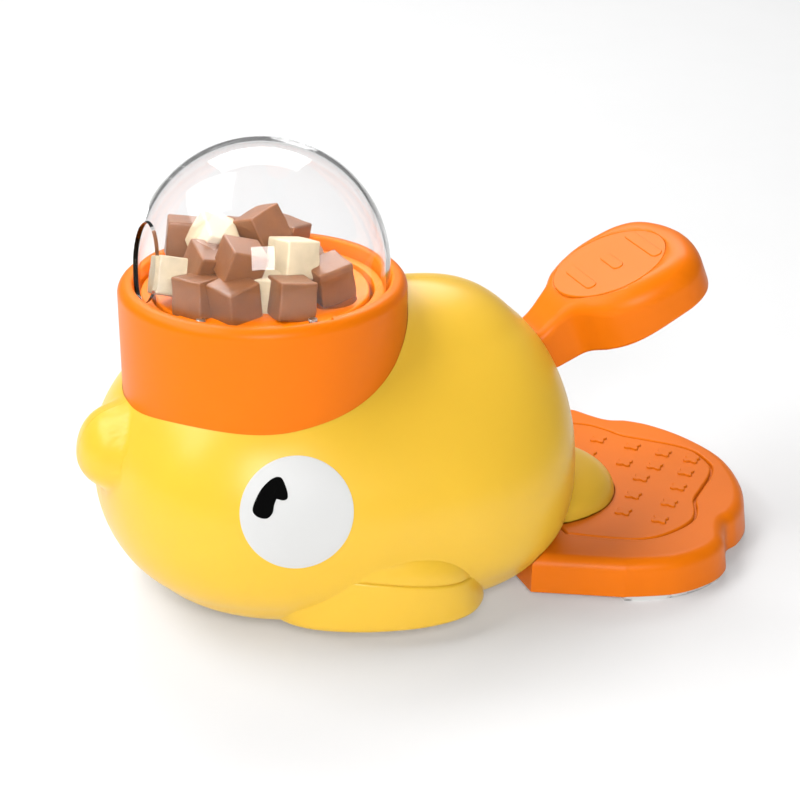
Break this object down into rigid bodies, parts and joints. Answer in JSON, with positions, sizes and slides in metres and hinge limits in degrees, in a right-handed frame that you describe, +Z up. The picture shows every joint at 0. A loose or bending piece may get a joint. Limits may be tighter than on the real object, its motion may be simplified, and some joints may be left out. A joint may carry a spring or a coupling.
{
  "type": "pet treat dispenser toy",
  "caption": "Duck-shaped pet treat dispenser: pressing the rear paddle turns a pocketed disc under a clear dome and drops one treat down a chute onto the webbed tray.",
  "frame": {"origin": "centre of the bounding box's underside, on the floor", "axes": "+Z up, +X from the beak towards the tray's toe, +Y towards the duck's right side"},
  "size_m": [0.32, 0.1794, 0.2045],
  "materials": {
    "yellow_shell": "satin moulded plastic, warm yellow",
    "orange_trim": "satin moulded plastic, orange",
    "white_eye": "smooth white plastic",
    "black_print": "smooth black plastic",
    "white_works": "plain white moulded plastic",
    "pale_foot": "pale matt foot pads",
    "foot_rubber": "matt black rubber",
    "steel": "plain steel",
    "brown_treat": "baked brown treat, for loose contents",
    "cream_treat": "baked cream treat, for loose contents",
    "clear_dome": "clear moulded plastic"
  },
  "bodies": {
    "housing": {"base_pads": "foot_rubber", "base_plate": "white_works", "base_screws": "steel", "body_shell_left": "yellow_shell", "body_shell_right": "yellow_shell", "collar_screws": "steel", "drop_chute": "white_works", "eye_left": "white_eye", "eye_right": "white_eye", "floor_screws": "steel", "guide_screws": "steel", "hopper_collar": "orange_trim", "hopper_floor": "orange_trim", "pivot_pin": "steel", "pupil_left": "black_print", "pupil_right": "black_print", "rack_guide": "white_works", "ramp_screws": "steel", "return_spring": "steel", "shell_screws": "steel", "shield_screws": "steel", "spindle_bush": "white_works", "tail_ramp": "yellow_shell", "tray_base": "orange_trim", "tray_inlay": "orange_trim", "tray_pads": "pale_foot", "tray_screws": "steel", "treat_shield": "orange_trim", "wing_left": "yellow_shell", "wing_right": "yellow_shell", "wing_screws": "steel"},
    "lever": {"paddle_lever": "orange_trim", "paddle_inlay": "orange_trim", "pivot_bushes": "white_works", "crank_pin": "steel"},
    "rack": {"drive_rack": "white_works"},
    "rotor": {"dispensing_disc": "orange_trim", "disc_spindle": "steel", "spindle_screw": "steel", "drive_pinion": "white_works", "spindle_clip": "steel"},
    "dome": {"dome_cover": "clear_dome"}
  },
  "joints": [
    {"name": "paddle_press", "type": "hinge", "parent": "housing", "child": "lever", "pos_m": [0.028, 0, 0.086], "axis": [0, 1, 0], "range_deg": [0, 18], "stiffness_Nm_per_rad": 0.35, "springref_deg": -20.05, "deforming": ["return_spring"]},
    {"name": "rack_slide", "type": "slide", "parent": "housing", "child": "rack", "axis": [1, 0, 0], "range_m": [0, 0.00754]},
    {"name": "disc_turn", "type": "hinge", "parent": "housing", "child": "rotor", "pos_m": [-0.0746, 0, 0.11], "axis": [0, 0, 1], "range_deg": [-60, 0]},
    {"name": "dome_lift", "type": "slide", "parent": "housing", "child": "dome", "axis": [0, 0, 1], "range_m": [0, 0.075]}
  ],
  "couplings": [
    {"joint": "rack_slide", "follows": "paddle_press", "m_per_rad": 0.024},
    {"joint": "disc_turn", "follows": "paddle_press", "ratio": -3.3333}
  ]
}
